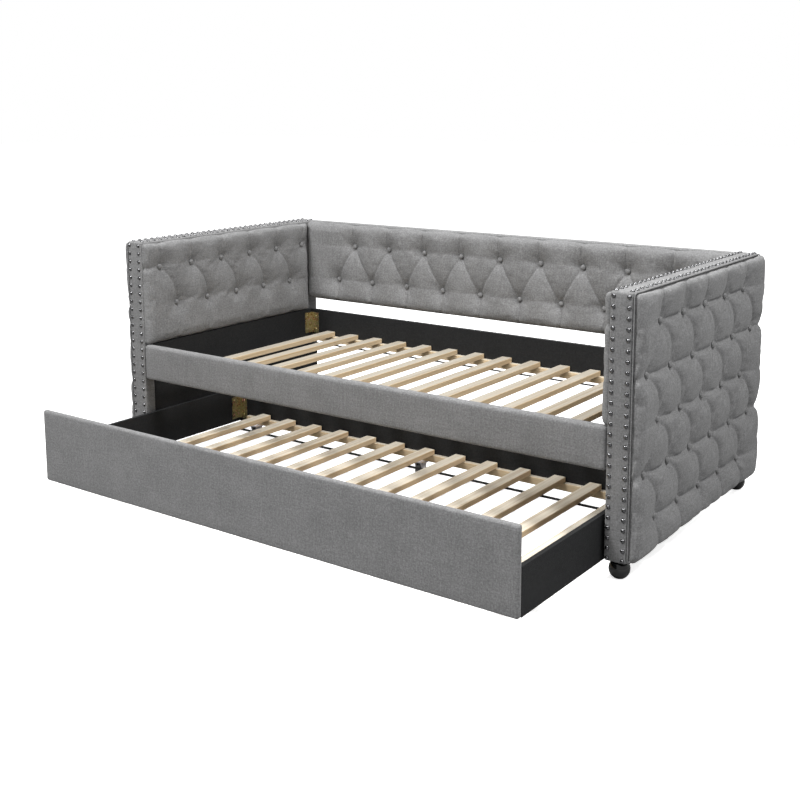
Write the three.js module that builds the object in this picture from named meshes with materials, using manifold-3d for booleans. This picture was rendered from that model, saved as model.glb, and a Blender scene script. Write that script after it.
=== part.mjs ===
// Upholstered daybed with a pull-out trundle, in millimetres, +Z up.
// X runs along the bed, the front faces -Y, and the floor is Z = 0.
import * as THREE from 'three';
import { mergeVertices } from 'three/addons/utils/BufferGeometryUtils.js';
import Module from 'manifold-3d';

const wasm = await Module();
wasm.setup();

// ---- driving dimensions -------------------------------------------------
const LENGTH = 2090;            // over the two arm frames
const ARM_THICKNESS = 72;
const ARM_DEPTH = 1032;
const ARM_BOTTOM = 55;
const ARM_TOP = 853;
const ARM_SKIN = 12;            // panels of the hollow arm box
const ARM_POST = 38;            // posts and rails inside the arm box
const EDGE_ROUND = 5;           // fabric-wrapped edges
const GAP = 0.3;                // clearance between touching pieces

const PAD_THICKNESS = 24;
const PAD_MARGIN = 6;           // pad edge to frame edge
const PAD_ROUND = 9;

const RAIL_BOTTOM = 322;
const RAIL_TOP = 457;
const FRONT_RAIL_THICKNESS = 34;
const BOARD_THICKNESS = 18;     // black side boards and rear rail
const REAR_RAIL_FRONT = 970;    // front face of the rear rail
const LINING_THICKNESS = 3;
const LINING_FRONT = 46;        // grey fabric returns this far round the front edge

const BACK_FRAME_FRONT = 984;
const BACK_FRAME_REAR = 1026;
const BACK_BOTTOM = 505;
const BACK_PAD_THICKNESS = 28;

const LEDGER_DEPTH = 20;
const LEDGER_HEIGHT = 27;
const LEDGER_SETBACK = 60;      // ledger end to the side board, clear of the corner bracket
const SLAT_LENGTH = 930;
const SLAT_WIDTH = 44;
const SLAT_THICKNESS = 20;
const SLAT_CHAMFER = 1.5;
const WEBBING_WIDTH = 20;
const WEBBING_THICKNESS = 1.2;

const BED_SLATS = 14;
const BED_SLAT_PITCH = 129.6;
const BED_SLAT_SHIFT = 5;       // both decks sit a little towards the right
const BED_LEDGER_BOTTOM = 320;
const BED_SLAT_FRONT = 37;
const BED_WEBBING_INSET = 150;  // slat end to the middle of the webbing

const TRUNDLE_OUT = 481;        // how far the trundle stands out of the daybed
const TRUNDLE_LENGTH = 1934;
const TRUNDLE_FRONT_THICKNESS = 22;
const TRUNDLE_BOTTOM = 50;
const TRUNDLE_FRONT_TOP = 308;
const TRUNDLE_SIDE_TOP = 190;
const TRUNDLE_SIDE_INSET = 2;
const TRUNDLE_BOARD = 15;
const TRUNDLE_INNER_DEPTH = 949;
const TRUNDLE_LEDGER_BOTTOM = 56;
const TRUNDLE_SLATS = 13;
const TRUNDLE_SLAT_PITCH = 136;
const TRUNDLE_SLAT_SHIFT = 29;
const TRUNDLE_WEBBING_INSET = 165;

const FOOT_RADIUS = 32;
const FOOT_SOLE_RADIUS = 14;
const FOOT_NECK_RADIUS = 21;
const FOOT_INSET = 36;          // foot centre to the arm's front and rear faces
const FOOT_LIFT = 1;            // ball centre above the middle of the foot's height
const FOOT_PROFILE_DEGREES = [-50, -25, 0, 25, 45];

const WHEEL_RADIUS = 22.5;
const WHEEL_WIDTH = 22;
const WHEEL_BORE = 3.4;
const WHEEL_HUB_RADIUS = 7;
const WHEEL_HUB_STEP = 0.8;     // hub stands proud of the rim
const WHEEL_DISH = 3;           // web set back from the rim's face
const WHEEL_TREAD_ROUND = 2;
const AXLE_RADIUS = 3;
const AXLE_HEAD = 1;            // axle end past the cheek
const CASTER_PLATE = [52, 44, 2.5];
const CASTER_CHEEK = 2;
const CASTER_SIDE_GAP = 1.5;    // wheel's face to the cheek
const CASTER_LUG = 4;           // metal round the axle
const CASTER_SETBACK = 26;      // rear caster centres to the rear panel
const CASTER_BATTEN_SETBACK = 160;  // middle of the front casters' batten to the front panel
const CASTER_BATTEN_WIDTH = 44;
const CASTER_BATTEN_DROP = 1;   // batten top below the webbing
const CASTER_OFFSETS = { left: -830, middle: 0, right: 830 };

const BRACKET_LEG = 44;
const BRACKET_HEIGHT = 92;
const BRACKET_THICKNESS = 2.5;
const BRACKET_HOLE = 3.2;
const BRACKET_HOLE_INSET = 16;
const BED_BRACKET_DROP = 14;    // bracket top to the rail's top
const TRUNDLE_BRACKET_LIFT = 8; // bracket foot above the underside of the ledgers

// ---- derived places -----------------------------------------------------
const armInner = LENGTH / 2 - ARM_THICKNESS;
const boardInner = armInner - BOARD_THICKNESS;
const trundleFront = -TRUNDLE_OUT;
const trundleInnerFront = trundleFront + TRUNDLE_FRONT_THICKNESS;
const trundleInnerRear = trundleInnerFront + TRUNDLE_INNER_DEPTH;
const trundleSideOuter = TRUNDLE_LENGTH / 2 - TRUNDLE_SIDE_INSET;
const trundleSideInner = trundleSideOuter - TRUNDLE_BOARD;
const bedSlatBottom = BED_LEDGER_BOTTOM + LEDGER_HEIGHT + GAP;
const trundleSlatBottom = TRUNDLE_LEDGER_BOTTOM + LEDGER_HEIGHT + GAP;

// ---- materials ----------------------------------------------------------
const finish = (color, roughness, metalness = 0) => ({ color, roughness, metalness });
const LINEN = finish(0x8a8a8c, 0.92);
const BLACK_CLOTH = finish(0x232324, 0.8);
const PINE = finish(0xd8c8ac, 0.6);
const WEBBING = finish(0x18181a, 0.85);
const YELLOW_ZINC = finish(0xb49b5c, 0.35, 0.9);
const STEEL = finish(0xa9a8ad, 0.4, 0.9);
const WHEEL_PLASTIC = finish(0x4a4a4d, 0.55);
const GLOSS_BLACK = finish(0x0c0c0d, 0.12);

// ---- geometry helpers ---------------------------------------------------
const daybed = new THREE.Group();
const trundle = new THREE.Group();

function place(parent, name, look, geometry, at = [0, 0, 0]) {
  const mesh = new THREE.Mesh(geometry, new THREE.MeshStandardMaterial(look));
  mesh.name = name;
  mesh.position.set(...at);
  parent.add(mesh);
  return mesh;
}

function solid(geometry) {
  const bare = geometry.clone();
  bare.deleteAttribute('normal');
  bare.deleteAttribute('uv');
  const merged = mergeVertices(bare, 1e-4);
  return new wasm.Manifold(new wasm.Mesh({
    numProp: 3,
    vertProperties: new Float32Array(merged.attributes.position.array),
    triVerts: new Uint32Array(merged.index.array),
  }));
}

function toGeometry(body) {
  const { vertProperties, triVerts } = body.getMesh();
  const geometry = new THREE.BufferGeometry();
  geometry.setAttribute('position', new THREE.BufferAttribute(vertProperties, 3));
  geometry.setIndex(new THREE.BufferAttribute(triVerts, 1));
  return geometry;
}

const join = (pieces) => toGeometry(pieces.map(solid).reduce((a, b) => a.add(b)));

function cut(body, tools) {
  return toGeometry(tools.map(solid).reduce((a, b) => a.subtract(b), solid(body)));
}

// A box from its lowest and highest corners.
function block(low, high) {
  const size = high.map((v, i) => v - low[i]);
  const middle = high.map((v, i) => (v + low[i]) / 2);
  return new THREE.BoxGeometry(...size).translate(...middle);
}

function rectangle(width, height, corner = 0) {
  const x = width / 2;
  const y = height / 2;
  const shape = new THREE.Shape();
  if (corner === 0) {
    shape.moveTo(-x, -y).lineTo(x, -y).lineTo(x, y).lineTo(-x, y).closePath();
    return shape;
  }
  shape.moveTo(-x + corner, -y);
  shape.absarc(x - corner, -y + corner, corner, -Math.PI / 2, 0);
  shape.absarc(x - corner, y - corner, corner, 0, Math.PI / 2);
  shape.absarc(-x + corner, y - corner, corner, Math.PI / 2, Math.PI);
  shape.absarc(-x + corner, -y + corner, corner, Math.PI, Math.PI * 1.5);
  shape.closePath();
  return shape;
}

// A slab with softly rounded edges. It is thin along Z, centred on the origin.
function softSlab(width, height, thickness, round) {
  const slab = new THREE.ExtrudeGeometry(rectangle(width - 2 * round, height - 2 * round, round), {
    depth: thickness - 2 * round,
    bevelEnabled: true,
    bevelThickness: round,
    bevelSize: round,
    bevelSegments: 2,
    curveSegments: 2,
  });
  return slab.translate(0, 0, -thickness / 2 + round);
}

// Turns a slab that is thin along Z so that it is thin along X, or along Y.
const thinAlongX = (slab) => slab.rotateY(Math.PI / 2).rotateX(Math.PI / 2);
const thinAlongY = (slab) => slab.rotateX(Math.PI / 2);

// A board of rectangular section with broken long edges, running along Y.
function chamferedBoard(width, thickness, length, chamfer) {
  const x = width / 2;
  const z = thickness / 2;
  const shape = new THREE.Shape();
  shape.moveTo(-x + chamfer, -z).lineTo(x - chamfer, -z).lineTo(x, -z + chamfer);
  shape.lineTo(x, z - chamfer).lineTo(x - chamfer, z).lineTo(-x + chamfer, z);
  shape.lineTo(-x, z - chamfer).lineTo(-x, -z + chamfer).closePath();
  const board = new THREE.ExtrudeGeometry(shape, { depth: length, bevelEnabled: false });
  return board.translate(0, 0, -length / 2).rotateX(Math.PI / 2);
}

// ---- daybed: arms -------------------------------------------------------
function armFrame() {
  const height = ARM_TOP - ARM_BOTTOM;
  const shell = thinAlongX(softSlab(ARM_DEPTH, height, ARM_THICKNESS, EDGE_ROUND));
  const hollowX = ARM_THICKNESS / 2 - ARM_SKIN;
  const hollowY = ARM_DEPTH / 2 - ARM_POST;
  const hollowZ = height / 2 - ARM_POST;
  const cavity = block([-hollowX, -hollowY, -hollowZ], [hollowX, hollowY, hollowZ]);
  const access = block([-hollowX / 2, -hollowY / 2, -height], [hollowX / 2, hollowY / 2, 0]);
  return cut(shell, [cavity, access]);
}

function addArm(side, sign) {
  const middleX = sign * (LENGTH / 2 - ARM_THICKNESS / 2);
  const middleZ = (ARM_TOP + ARM_BOTTOM) / 2;
  place(daybed, `${side}_arm_frame`, LINEN, armFrame(), [middleX, ARM_DEPTH / 2, middleZ]);

  const outerDepth = ARM_DEPTH - 2 * PAD_MARGIN;
  const outerHeight = ARM_TOP - ARM_BOTTOM - 2 * PAD_MARGIN;
  const outer = thinAlongX(softSlab(outerDepth, outerHeight, PAD_THICKNESS, PAD_ROUND));
  const outerX = sign * (LENGTH / 2 + GAP + PAD_THICKNESS / 2);
  place(daybed, `${side}_arm_outer_pad`, LINEN, outer, [outerX, ARM_DEPTH / 2, middleZ]);

  const innerRear = BACK_FRAME_FRONT - BACK_PAD_THICKNESS - 2 * GAP;
  const innerDepth = innerRear - PAD_MARGIN;
  const innerHeight = ARM_TOP - PAD_MARGIN - RAIL_TOP - GAP;
  const inner = thinAlongX(softSlab(innerDepth, innerHeight, PAD_THICKNESS, PAD_ROUND));
  const innerX = sign * (armInner - GAP - PAD_THICKNESS / 2);
  const innerZ = RAIL_TOP + GAP + innerHeight / 2;
  place(daybed, `${side}_arm_inner_pad`, LINEN, inner, [innerX, PAD_MARGIN + innerDepth / 2, innerZ]);

  const liningX = [sign * (armInner - GAP), sign * (armInner - GAP - LINING_THICKNESS)];
  const lining = block(
    [Math.min(...liningX), LINING_FRONT, ARM_BOTTOM + PAD_MARGIN],
    [Math.max(...liningX), ARM_DEPTH - PAD_MARGIN, RAIL_BOTTOM - GAP],
  );
  place(daybed, `${side}_arm_lining`, BLACK_CLOTH, lining);
}

// ---- daybed: back, rails and boards ---------------------------------------
function addBack() {
  const height = ARM_TOP - BACK_BOTTOM;
  const middleZ = (ARM_TOP + BACK_BOTTOM) / 2;
  const width = 2 * (armInner - GAP);
  const depth = BACK_FRAME_REAR - BACK_FRAME_FRONT;
  const frame = thinAlongY(softSlab(width, height, depth, EDGE_ROUND));
  const frameY = (BACK_FRAME_REAR + BACK_FRAME_FRONT) / 2;
  place(daybed, 'back_frame', LINEN, frame, [0, frameY, middleZ]);

  const pad = thinAlongY(softSlab(width - PAD_MARGIN, height - PAD_MARGIN, BACK_PAD_THICKNESS, PAD_ROUND));
  const padY = BACK_FRAME_FRONT - GAP - BACK_PAD_THICKNESS / 2;
  place(daybed, 'back_pad', LINEN, pad, [0, padY, middleZ]);
}

function addRails() {
  const height = RAIL_TOP - RAIL_BOTTOM;
  const middleZ = (RAIL_TOP + RAIL_BOTTOM) / 2;
  const front = thinAlongY(softSlab(2 * (armInner - GAP), height, FRONT_RAIL_THICKNESS, PAD_ROUND));
  place(daybed, 'front_rail', LINEN, front, [0, FRONT_RAIL_THICKNESS / 2, middleZ]);

  const rear = block(
    [-boardInner + GAP, REAR_RAIL_FRONT, RAIL_BOTTOM],
    [boardInner - GAP, REAR_RAIL_FRONT + BOARD_THICKNESS, RAIL_TOP],
  );
  place(daybed, 'rear_rail', BLACK_CLOTH, rear);

  for (const [side, sign] of [['left', -1], ['right', 1]]) {
    const edges = [sign * boardInner, sign * (armInner - GAP)];
    const board = block(
      [Math.min(...edges), FRONT_RAIL_THICKNESS + GAP, RAIL_BOTTOM],
      [Math.max(...edges), REAR_RAIL_FRONT + BOARD_THICKNESS, RAIL_TOP],
    );
    place(daybed, `${side}_side_board`, BLACK_CLOTH, board);
  }
}

function addFeet() {
  const profile = [new THREE.Vector2(0, 0), new THREE.Vector2(FOOT_SOLE_RADIUS, 0)];
  const centre = ARM_BOTTOM / 2 + FOOT_LIFT;
  for (const angle of FOOT_PROFILE_DEGREES) {
    const turn = THREE.MathUtils.degToRad(angle);
    profile.push(new THREE.Vector2(FOOT_RADIUS * Math.cos(turn), centre + FOOT_RADIUS * Math.sin(turn)));
  }
  const top = ARM_BOTTOM - GAP;
  profile.push(new THREE.Vector2(FOOT_NECK_RADIUS, top), new THREE.Vector2(0, top));
  const footX = LENGTH / 2 - ARM_THICKNESS / 2;
  for (const [side, sign] of [['left', -1], ['right', 1]]) {
    for (const [end, y] of [['front', FOOT_INSET], ['rear', ARM_DEPTH - FOOT_INSET]]) {
      const foot = new THREE.LatheGeometry(profile, 24).rotateX(Math.PI / 2);
      place(daybed, `${end}_${side}_foot`, GLOSS_BLACK, foot, [sign * footX, y, 0]);
    }
  }
}

// ---- slatted decks ----------------------------------------------------------
const slatGeometry = () => chamferedBoard(SLAT_WIDTH, SLAT_THICKNESS, SLAT_LENGTH, SLAT_CHAMFER);
const ledgerGeometry = (length) =>
  chamferedBoard(LEDGER_DEPTH, LEDGER_HEIGHT, length, SLAT_CHAMFER).rotateZ(Math.PI / 2);

function addBedDeck() {
  const slatY = BED_SLAT_FRONT + SLAT_LENGTH / 2;
  const slatZ = bedSlatBottom + SLAT_THICKNESS / 2;
  for (let i = 0; i < BED_SLATS; i += 1) {
    const x = (i - (BED_SLATS - 1) / 2) * BED_SLAT_PITCH + BED_SLAT_SHIFT;
    const name = `bed_slat_${String(i + 1).padStart(2, '0')}`;
    place(daybed, name, PINE, slatGeometry(), [x, slatY, slatZ]);
  }

  const ledgerLength = 2 * (boardInner - LEDGER_SETBACK);
  const ledgerZ = BED_LEDGER_BOTTOM + LEDGER_HEIGHT / 2;
  const frontY = FRONT_RAIL_THICKNESS + GAP + LEDGER_DEPTH / 2;
  const rearY = REAR_RAIL_FRONT - GAP - LEDGER_DEPTH / 2;
  place(daybed, 'bed_front_ledger', PINE, ledgerGeometry(ledgerLength), [0, frontY, ledgerZ]);
  place(daybed, 'bed_rear_ledger', PINE, ledgerGeometry(ledgerLength), [0, rearY, ledgerZ]);

  const reach = ((BED_SLATS - 1) * BED_SLAT_PITCH) / 2 + SLAT_WIDTH / 4;
  const top = bedSlatBottom - GAP;
  const webbing = [['front', slatY - SLAT_LENGTH / 2 + BED_WEBBING_INSET],
    ['rear', slatY + SLAT_LENGTH / 2 - BED_WEBBING_INSET]];
  for (const [end, y] of webbing) {
    const strip = block(
      [BED_SLAT_SHIFT - reach, y - WEBBING_WIDTH / 2, top - WEBBING_THICKNESS],
      [BED_SLAT_SHIFT + reach, y + WEBBING_WIDTH / 2, top],
    );
    place(daybed, `bed_${end}_webbing`, WEBBING, strip);
  }
}

// The trundle's slats are stapled to two webbing strips and lift out as one roll.
function addTrundleRoll() {
  const slatY = trundleInnerFront + TRUNDLE_INNER_DEPTH / 2;
  const pieces = [];
  for (let i = 0; i < TRUNDLE_SLATS; i += 1) {
    const x = (i - (TRUNDLE_SLATS - 1) / 2) * TRUNDLE_SLAT_PITCH + TRUNDLE_SLAT_SHIFT;
    pieces.push(slatGeometry().translate(x, slatY, trundleSlatBottom + SLAT_THICKNESS / 2));
  }
  const reach = ((TRUNDLE_SLATS - 1) * TRUNDLE_SLAT_PITCH) / 2 + SLAT_WIDTH / 4;
  const edge = SLAT_LENGTH / 2 - TRUNDLE_WEBBING_INSET;
  for (const y of [slatY - edge, slatY + edge]) {
    pieces.push(block(
      [TRUNDLE_SLAT_SHIFT - reach, y - WEBBING_WIDTH / 2, trundleSlatBottom - WEBBING_THICKNESS],
      [TRUNDLE_SLAT_SHIFT + reach, y + WEBBING_WIDTH / 2, trundleSlatBottom + SLAT_CHAMFER / 2],
    ));
  }
  place(trundle, 'trundle_slat_roll', PINE, join(pieces));
}

// ---- trundle ------------------------------------------------------------------
function addTrundleBox() {
  const height = TRUNDLE_FRONT_TOP - TRUNDLE_BOTTOM;
  const panel = thinAlongY(softSlab(TRUNDLE_LENGTH, height, TRUNDLE_FRONT_THICKNESS, PAD_ROUND));
  const panelY = trundleFront + TRUNDLE_FRONT_THICKNESS / 2;
  place(trundle, 'trundle_front_panel', LINEN, panel, [0, panelY, TRUNDLE_BOTTOM + height / 2]);

  const rearFace = trundleInnerRear + TRUNDLE_BOARD;
  for (const [side, sign] of [['left', -1], ['right', 1]]) {
    const edges = [sign * trundleSideInner, sign * trundleSideOuter];
    const board = block(
      [Math.min(...edges), trundleInnerFront + GAP, TRUNDLE_BOTTOM],
      [Math.max(...edges), rearFace, TRUNDLE_SIDE_TOP],
    );
    place(trundle, `trundle_${side}_side`, BLACK_CLOTH, board);
  }
  const rear = block(
    [-trundleSideInner + GAP, trundleInnerRear, TRUNDLE_BOTTOM],
    [trundleSideInner - GAP, rearFace, TRUNDLE_SIDE_TOP],
  );
  place(trundle, 'trundle_rear_panel', BLACK_CLOTH, rear);

  const ledgerLength = 2 * (trundleSideInner - LEDGER_SETBACK);
  const ledgerZ = TRUNDLE_LEDGER_BOTTOM + LEDGER_HEIGHT / 2;
  const frontY = trundleInnerFront + GAP + LEDGER_DEPTH / 2;
  const rearY = trundleInnerRear - GAP - LEDGER_DEPTH / 2;
  place(trundle, 'trundle_front_ledger', PINE, ledgerGeometry(ledgerLength), [0, frontY, ledgerZ]);
  place(trundle, 'trundle_rear_ledger', PINE, ledgerGeometry(ledgerLength), [0, rearY, ledgerZ]);
}

// A stamped housing: top plate, two tapered cheeks and the fixed axle between them.
function casterHousing() {
  const [plateX, plateY, plateZ] = CASTER_PLATE;
  const top = TRUNDLE_LEDGER_BOTTOM - GAP;
  const plate = block([-plateX / 2, -plateY / 2, top - plateZ], [plateX / 2, plateY / 2, top]);
  const cheekX = WHEEL_WIDTH / 2 + CASTER_SIDE_GAP;
  const cheekShape = new THREE.Shape();
  cheekShape.moveTo(-plateY / 2, top - 1);
  cheekShape.lineTo(-AXLE_RADIUS - CASTER_LUG, WHEEL_RADIUS - CASTER_LUG);
  cheekShape.lineTo(AXLE_RADIUS + CASTER_LUG, WHEEL_RADIUS - CASTER_LUG);
  cheekShape.lineTo(plateY / 2, top - 1);
  cheekShape.closePath();
  const cheeks = [-cheekX - CASTER_CHEEK, cheekX].map((x) => {
    const cheek = new THREE.ExtrudeGeometry(cheekShape, { depth: CASTER_CHEEK, bevelEnabled: false });
    return cheek.rotateX(Math.PI / 2).rotateZ(Math.PI / 2).translate(x, 0, 0);
  });
  const axleLength = 2 * (cheekX + CASTER_CHEEK + AXLE_HEAD);
  const axle = new THREE.CylinderGeometry(AXLE_RADIUS, AXLE_RADIUS, axleLength, 12);
  axle.rotateZ(Math.PI / 2).translate(0, 0, WHEEL_RADIUS);
  return join([plate, ...cheeks, axle]);
}

function wheelGeometry() {
  const half = WHEEL_WIDTH / 2;
  const hub = half + WHEEL_HUB_STEP;
  const web = half - WHEEL_DISH;
  const tread = half - WHEEL_TREAD_ROUND;
  const right = [
    [WHEEL_RADIUS, tread], [WHEEL_RADIUS - 1, half], [WHEEL_RADIUS - 3.5, half],
    [WHEEL_RADIUS - 5, web], [WHEEL_HUB_RADIUS + 1, web], [WHEEL_HUB_RADIUS, hub], [WHEEL_BORE, hub],
  ];
  const left = right.map(([radius, along]) => [radius, -along]).reverse();
  const section = [...left, ...right, left[0]].map(([r, along]) => new THREE.Vector2(r, along));
  return new THREE.LatheGeometry(section, 20).rotateZ(Math.PI / 2);
}

function addCasters() {
  const frontY = trundleInnerFront + CASTER_BATTEN_SETBACK;
  const battenLength = 2 * (trundleSideInner - GAP);
  const battenHeight = LEDGER_HEIGHT - WEBBING_THICKNESS - CASTER_BATTEN_DROP;
  const batten = chamferedBoard(CASTER_BATTEN_WIDTH, battenHeight, battenLength, SLAT_CHAMFER);
  const battenZ = TRUNDLE_LEDGER_BOTTOM + battenHeight / 2;
  place(trundle, 'trundle_caster_batten', PINE, batten.rotateZ(Math.PI / 2), [0, frontY, battenZ]);

  for (const [end, y] of [['front', frontY], ['rear', trundleInnerRear - CASTER_SETBACK]]) {
    for (const [side, x] of Object.entries(CASTER_OFFSETS)) {
      place(trundle, `${end}_${side}_caster_housing`, STEEL, casterHousing(), [x, y, 0]);
      place(trundle, `${end}_${side}_wheel`, WHEEL_PLASTIC, wheelGeometry(), [x, y, WHEEL_RADIUS]);
    }
  }
}

// ---- corner brackets -----------------------------------------------------------
function bracketLeg() {
  const shape = new THREE.Shape();
  shape.moveTo(0, 0).lineTo(BRACKET_LEG, 0).lineTo(BRACKET_LEG, BRACKET_HEIGHT);
  shape.lineTo(0, BRACKET_HEIGHT).closePath();
  for (const z of [BRACKET_HOLE_INSET, BRACKET_HEIGHT - BRACKET_HOLE_INSET]) {
    const hole = new THREE.Path().absarc(BRACKET_LEG - BRACKET_HOLE_INSET, z, BRACKET_HOLE, 0, Math.PI * 2);
    shape.holes.push(hole);
  }
  const options = { depth: BRACKET_THICKNESS, bevelEnabled: false, curveSegments: 5 };
  return new THREE.ExtrudeGeometry(shape, options).rotateX(Math.PI / 2);
}

// The corner is at the origin. One leg runs along +X, the other along -Y, both against the boards.
function cornerBracket() {
  const onRear = bracketLeg();
  const onSide = bracketLeg().rotateZ(-Math.PI / 2).translate(BRACKET_THICKNESS, 0, 0);
  return join([onRear, onSide]);
}

function addCornerBrackets(parent, prefix, cornerX, cornerY, bottom) {
  for (const [side, sign] of [['left', -1], ['right', 1]]) {
    const geometry = cornerBracket();
    if (sign > 0) geometry.rotateZ(-Math.PI / 2);
    const at = [sign * (cornerX - GAP), cornerY - GAP, bottom];
    place(parent, `${prefix}_rear_${side}_bracket`, YELLOW_ZINC, geometry, at);
  }
}

// ---- assembly -------------------------------------------------------------------
addArm('left', -1);
addArm('right', 1);
addBack();
addRails();
addFeet();
addBedDeck();
const bedBracketFoot = RAIL_TOP - BED_BRACKET_DROP - BRACKET_HEIGHT;
addCornerBrackets(daybed, 'bed', boardInner, REAR_RAIL_FRONT, bedBracketFoot);

addTrundleBox();
addTrundleRoll();
addCasters();
const trundleBracketFoot = TRUNDLE_LEDGER_BOTTOM + TRUNDLE_BRACKET_LIFT;
addCornerBrackets(trundle, 'trundle', trundleSideInner, trundleInnerRear, trundleBracketFoot);

const bed = new THREE.Group();
bed.add(daybed, trundle);
bed.position.y = (TRUNDLE_OUT - ARM_DEPTH) / 2;

export default bed;
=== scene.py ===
"""Upholstered daybed with a pull-out trundle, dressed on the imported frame. Metres, +Z up, front faces -Y."""
import math
import bpy
import numpy as np
from mathutils import Matrix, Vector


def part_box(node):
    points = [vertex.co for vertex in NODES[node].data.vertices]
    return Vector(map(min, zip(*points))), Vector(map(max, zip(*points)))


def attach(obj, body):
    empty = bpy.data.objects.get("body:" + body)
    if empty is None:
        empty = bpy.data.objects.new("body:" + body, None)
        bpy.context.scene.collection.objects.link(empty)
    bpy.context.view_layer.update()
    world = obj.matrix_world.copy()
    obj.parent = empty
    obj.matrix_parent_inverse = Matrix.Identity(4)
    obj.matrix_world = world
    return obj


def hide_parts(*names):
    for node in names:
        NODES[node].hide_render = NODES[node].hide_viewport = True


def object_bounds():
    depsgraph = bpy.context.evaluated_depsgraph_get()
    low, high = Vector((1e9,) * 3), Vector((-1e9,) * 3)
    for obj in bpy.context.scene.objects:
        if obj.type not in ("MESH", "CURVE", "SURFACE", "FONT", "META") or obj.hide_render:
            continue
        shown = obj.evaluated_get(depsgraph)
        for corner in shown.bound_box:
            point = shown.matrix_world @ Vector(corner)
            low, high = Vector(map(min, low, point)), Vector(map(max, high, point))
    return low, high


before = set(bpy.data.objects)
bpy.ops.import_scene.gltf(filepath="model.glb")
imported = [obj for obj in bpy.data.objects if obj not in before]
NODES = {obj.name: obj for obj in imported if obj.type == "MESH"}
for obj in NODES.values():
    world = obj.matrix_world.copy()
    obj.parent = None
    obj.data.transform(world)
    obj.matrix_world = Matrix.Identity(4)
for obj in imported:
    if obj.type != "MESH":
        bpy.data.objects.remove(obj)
cad_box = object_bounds()

# ---- dimensions -----------------------------------------------------------
NAIL_PITCH, NAIL_RADIUS, NAIL_HEIGHT = 0.031, 0.0069, 0.0053
NAIL_INSET = 0.0118             # from a band's long edge to its line of nails
NAIL_START = 0.013              # from the arm's top to the first nail of a front line
NAIL_FRONT = 0.020              # from the arm's front to the first nail of a top line
NAIL_SEGMENTS = 14
NAIL_PROUD = 0.0002             # how far a head's base stands off the fabric
BUTTON_RADIUS, BUTTON_HEIGHT, BUTTON_RIM, BUTTON_SEGMENTS = 0.0108, 0.0085, 0.0014, 20
BUTTON_PROUD = 0.0012           # how far a button's base stands off its seat
UPPER_ROW, LOWER_ROW = 0.095, 0.245     # rows of the inner and back pads, below their top edge
WELT_RADIUS, WELT_CORNER = 0.0021, 0.012
WELT_OUT = 0.0031               # from the pad's border to the welt's centre line
ARM_ROUND, BACK_ROUND, RAIL_ROUND, PANEL_ROUND = 0.008, 0.006, 0.013, 0.0095    # edges of the wrapped boards
BOARD_STEP = 0.025              # spacing of the wrapped boards' vertices
BOARD_WANDER = 0.0004           # how far their fabric wanders from flat
PAD_STEP = 0.0037               # spacing of the pads' vertices
PAD_BORDER = 0.02               # border over which that spacing is finer
PAD_ROUND = 0.024               # radius of a pad's rolled border
PAD_CORNER = 0.014              # radius of a pad's corners, seen face on
PAD_SEAT = 0.005                # fabric over the frame under a button
SIM_EVERY = 3                   # the cloth uses every third vertex
SIM_FRAMES = 20
CHAMFER = 0.0015                # broken edges of the trundle's slats
WEBBING_INSET = 0.165           # from a slat's end to the middle of its webbing
WEBBING_MARGIN = 0.011          # from the roll's outer edge to the end of its webbing
SCREW_RADIUS, SCREW_HEIGHT, SCREW_SEGMENTS = 0.0052, 0.0024, 14
SCREW_INSET = 0.016             # from the bracket's edges
BRACKET_SHEET = 0.0025          # the bracket's thickness
rng = np.random.default_rng(7)


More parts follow.
